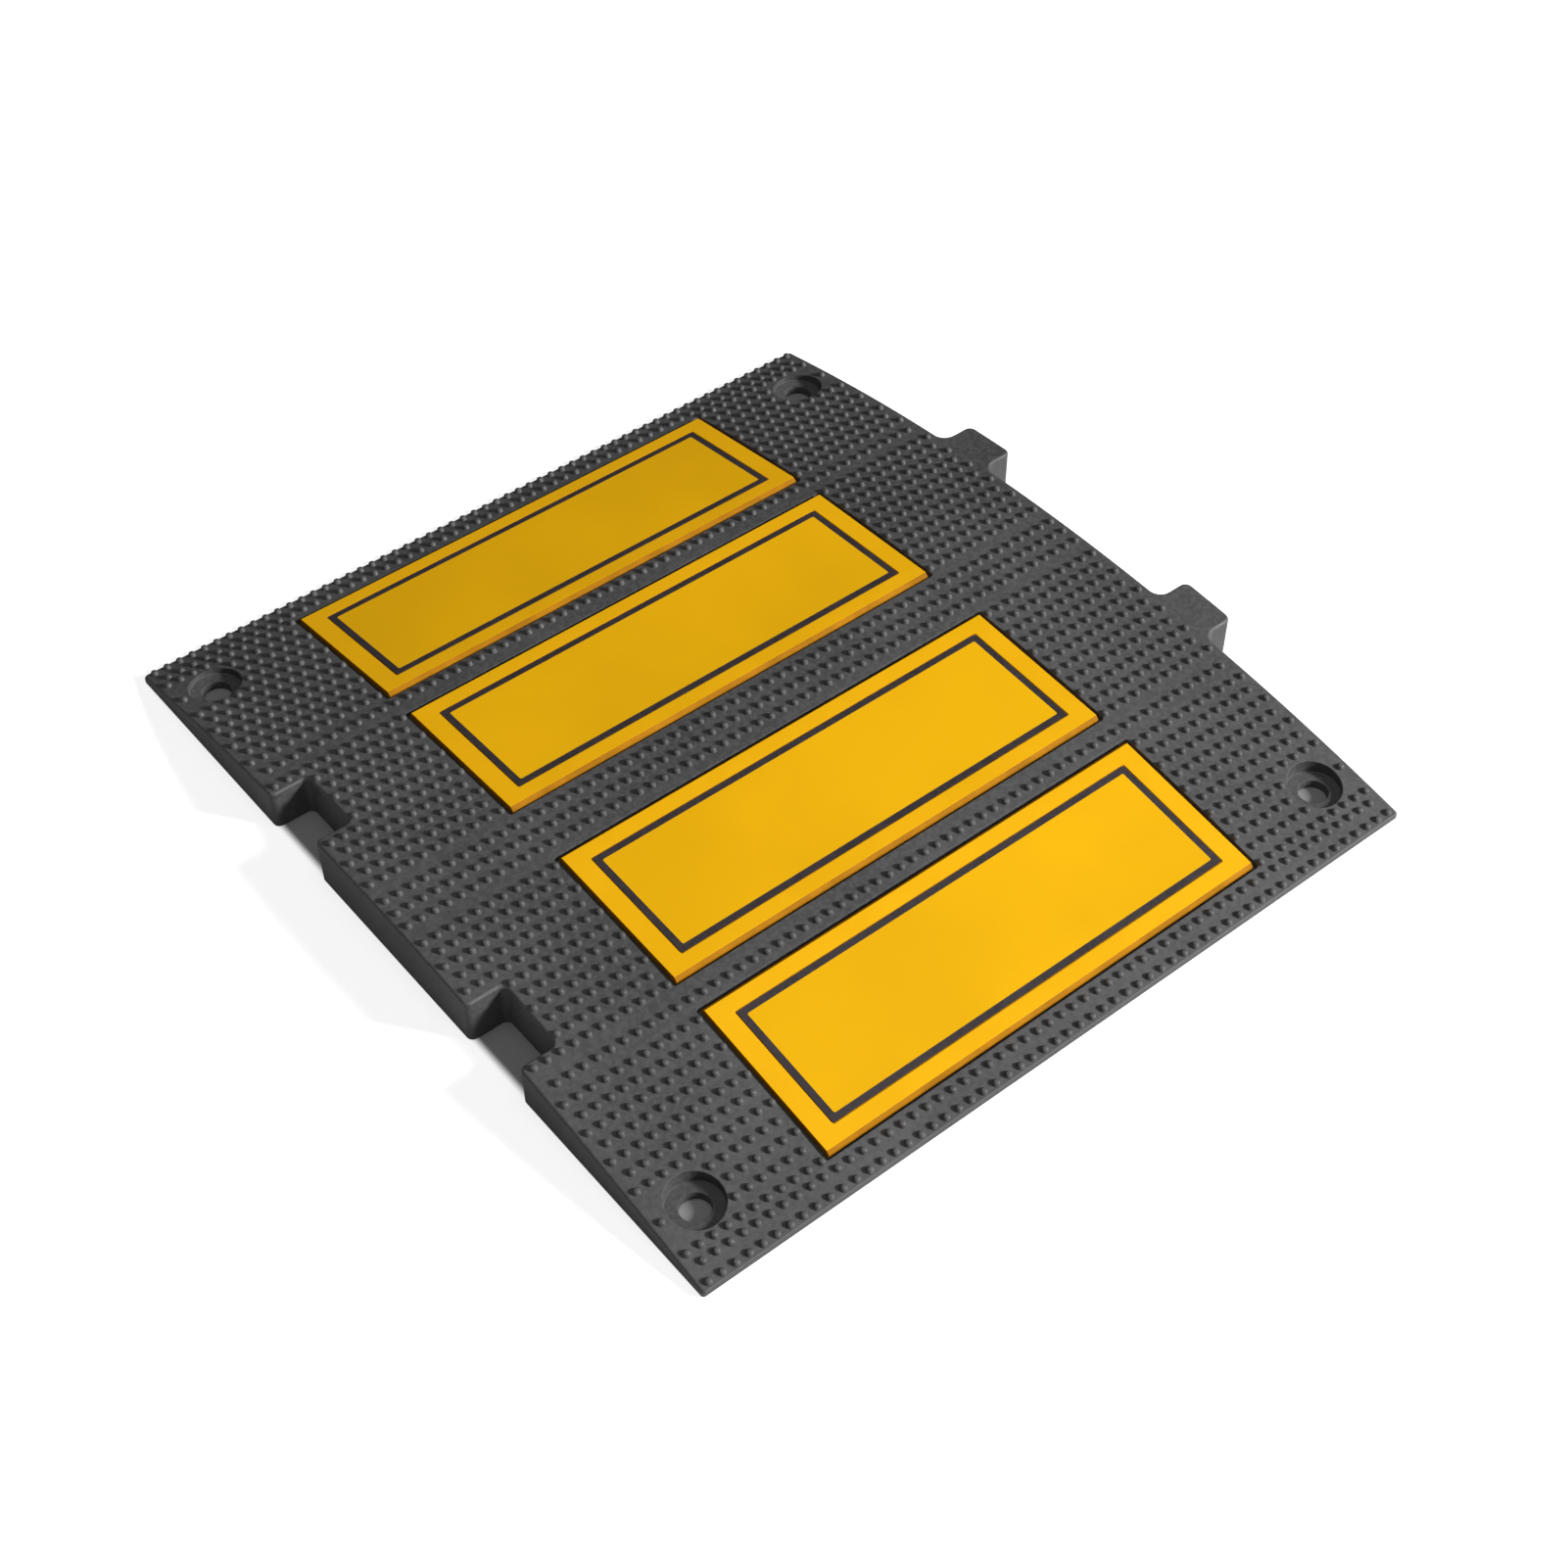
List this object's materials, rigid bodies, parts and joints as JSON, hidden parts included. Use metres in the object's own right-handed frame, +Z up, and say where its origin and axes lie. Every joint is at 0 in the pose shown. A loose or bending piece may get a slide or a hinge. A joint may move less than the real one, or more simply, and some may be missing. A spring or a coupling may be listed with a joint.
{
  "type": "modular speed bump",
  "caption": "Arched rubber speed bump module with inset yellow reflective tiles, sunk bolt holes at the corners, and tongues and pockets that join it to its neighbours.",
  "frame": {"origin": "centre of the rectangular footprint on the road, midway between the four bolt holes, with the tongues left out", "axes": "+X across the road towards the side with the tongues, +Y along the direction of travel, +Z up"},
  "size_m": [0.523, 0.55, 0.0348],
  "materials": {
    "rubber": "matt moulded rubber",
    "tile": "satin",
    "sheet": "satin reflective film",
    "border": "matt",
    "adhesive": "matt"
  },
  "bodies": {
    "root": {"rubber_body": "rubber", "tile_front_outer": "tile", "tile_front_inner": "tile", "tile_rear_inner": "tile", "tile_rear_outer": "tile", "border_front_outer": "border", "border_front_inner": "border", "border_rear_inner": "border", "border_rear_outer": "border", "sheet_front_outer": "sheet", "sheet_front_inner": "sheet", "sheet_rear_inner": "sheet", "sheet_rear_outer": "sheet", "pad_front_outer": "adhesive", "pad_front_inner": "adhesive", "pad_rear_inner": "adhesive", "pad_rear_outer": "adhesive"}
  },
  "joints": []
}
